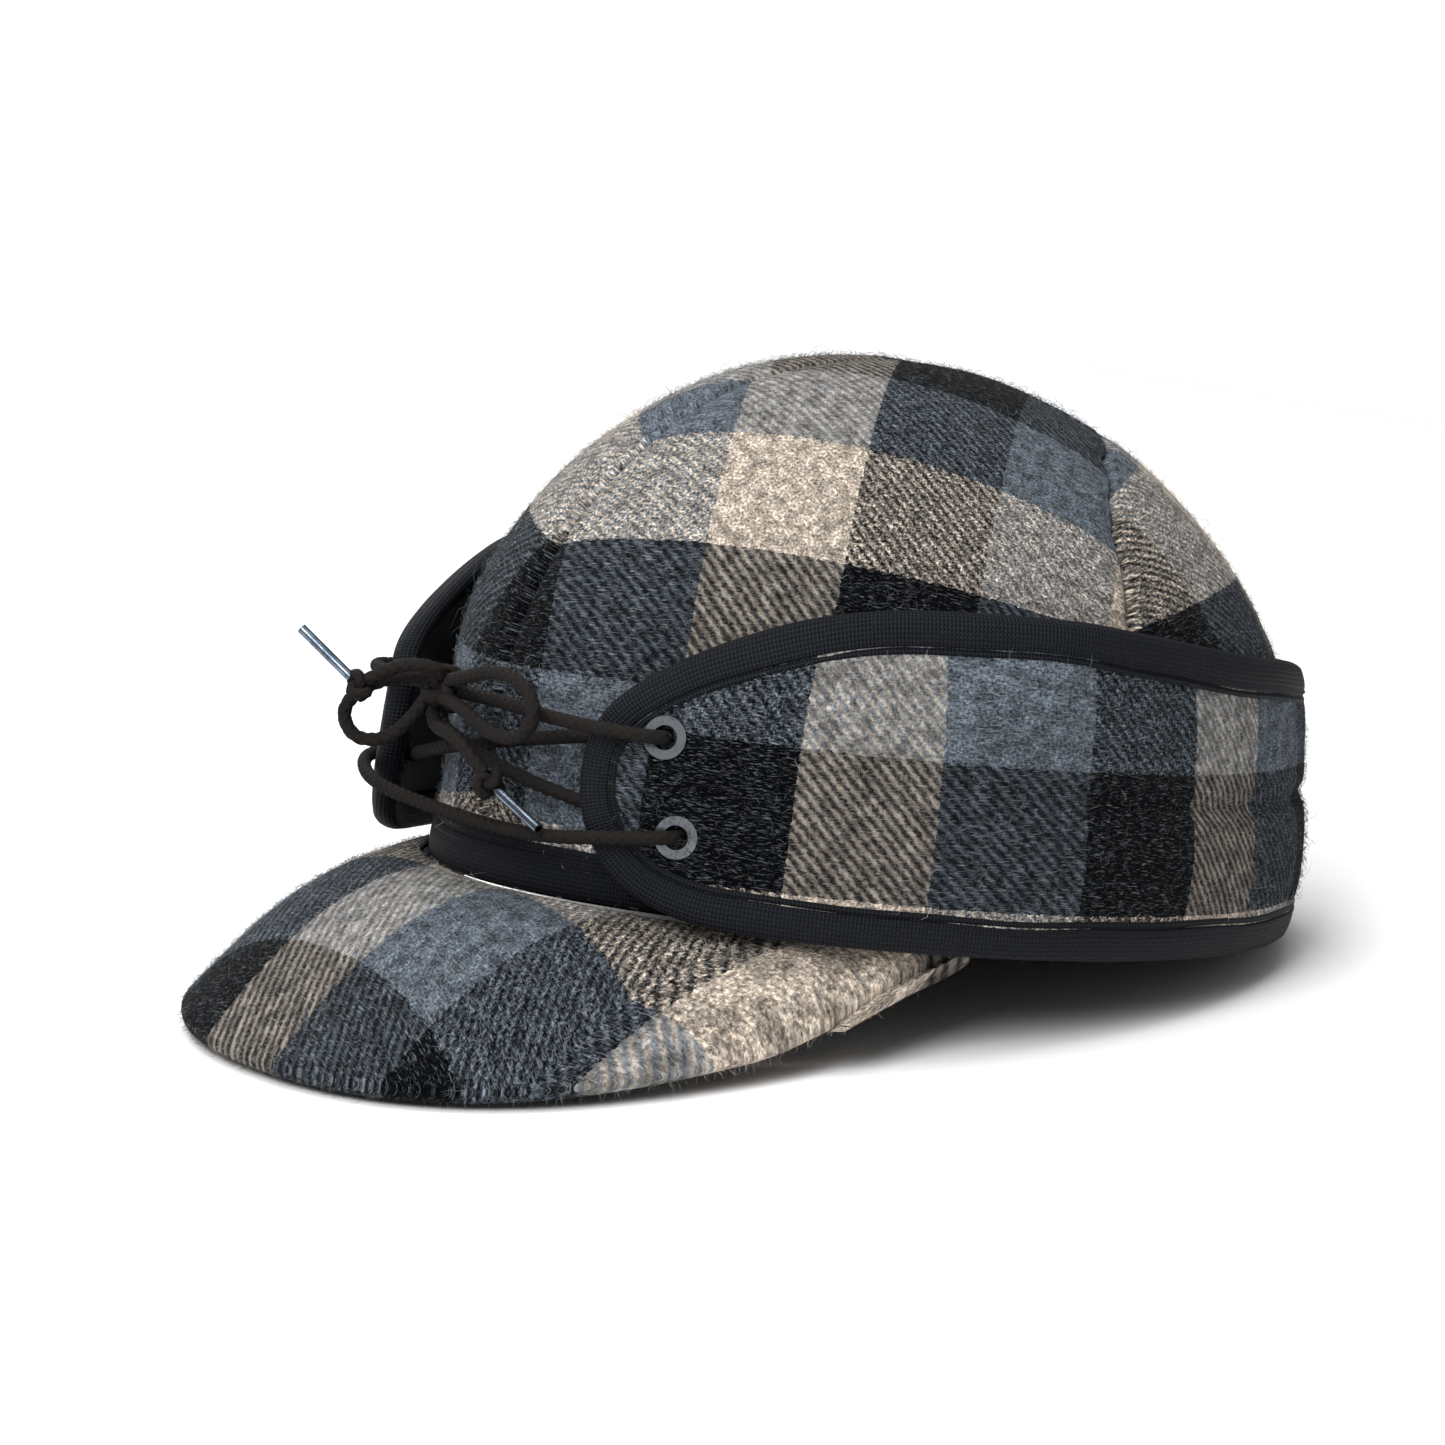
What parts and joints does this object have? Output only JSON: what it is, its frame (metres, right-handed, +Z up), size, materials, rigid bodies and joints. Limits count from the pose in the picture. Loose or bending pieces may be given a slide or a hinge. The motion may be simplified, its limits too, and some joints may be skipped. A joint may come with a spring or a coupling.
{
  "type": "plaid wool cap with pull-down earband",
  "caption": "Wool cap with a soft visor and a pull-down earband that is bound with grosgrain and laced across the front.",
  "frame": {"origin": "on the table under the middle of the cap's length and width, as it stands on its visor's front edge and the back of its earband", "axes": "+Z up, -Y towards the visor, +X to the wearer's left"},
  "size_m": [0.1852, 0.2756, 0.1379],
  "materials": {
    "plaid_wool": "brushed plaid wool",
    "grosgrain": "ribbed black binding tape",
    "lining": "smooth woven lining",
    "sweatband": "cotton sweatband",
    "board": "flexible visor board",
    "eyelet_metal": "gunmetal nickel",
    "aglet_metal": "bright metal sleeve",
    "lace": "braided round lace"
  },
  "bodies": {
    "earband": {"earband_bottom_binding": "grosgrain", "earband_lining": "lining", "earband_top_binding": "grosgrain", "earband_wool": "plaid_wool"},
    "cap": {"aglet_left": "aglet_metal", "aglet_right": "aglet_metal", "bow_knot": "lace", "bow_loop_left": "lace", "bow_loop_right": "lace", "crown_lining_left": "lining", "crown_lining_right": "lining", "crown_panel_back_left": "plaid_wool", "crown_panel_back_right": "plaid_wool", "crown_panel_front_left": "plaid_wool", "crown_panel_front_right": "plaid_wool", "eyelet_left_lower": "eyelet_metal", "eyelet_left_upper": "eyelet_metal", "eyelet_right_lower": "eyelet_metal", "eyelet_right_upper": "eyelet_metal", "eyelet_washer_left_lower": "eyelet_metal", "eyelet_washer_left_upper": "eyelet_metal", "eyelet_washer_right_lower": "eyelet_metal", "eyelet_washer_right_upper": "eyelet_metal", "flap_left_binding": "grosgrain", "flap_left_lining": "lining", "flap_left_wool": "plaid_wool", "flap_right_binding": "grosgrain", "flap_right_lining": "lining", "flap_right_wool": "plaid_wool", "front_hem_binding": "grosgrain", "lace_tail_left": "lace", "lace_tail_right": "lace", "lacing": "lace", "sweatband": "sweatband", "tail_knot_left": "lace", "tail_knot_right": "lace", "visor_board": "board", "visor_top_cover": "plaid_wool", "visor_under_cover": "plaid_wool"}
  },
  "joints": [
    {"name": "earband_pull_down", "type": "slide", "parent": "earband", "child": "cap", "axis": [0, 0.1588, 0.9873], "range_m": [0, 0.035]}
  ]
}
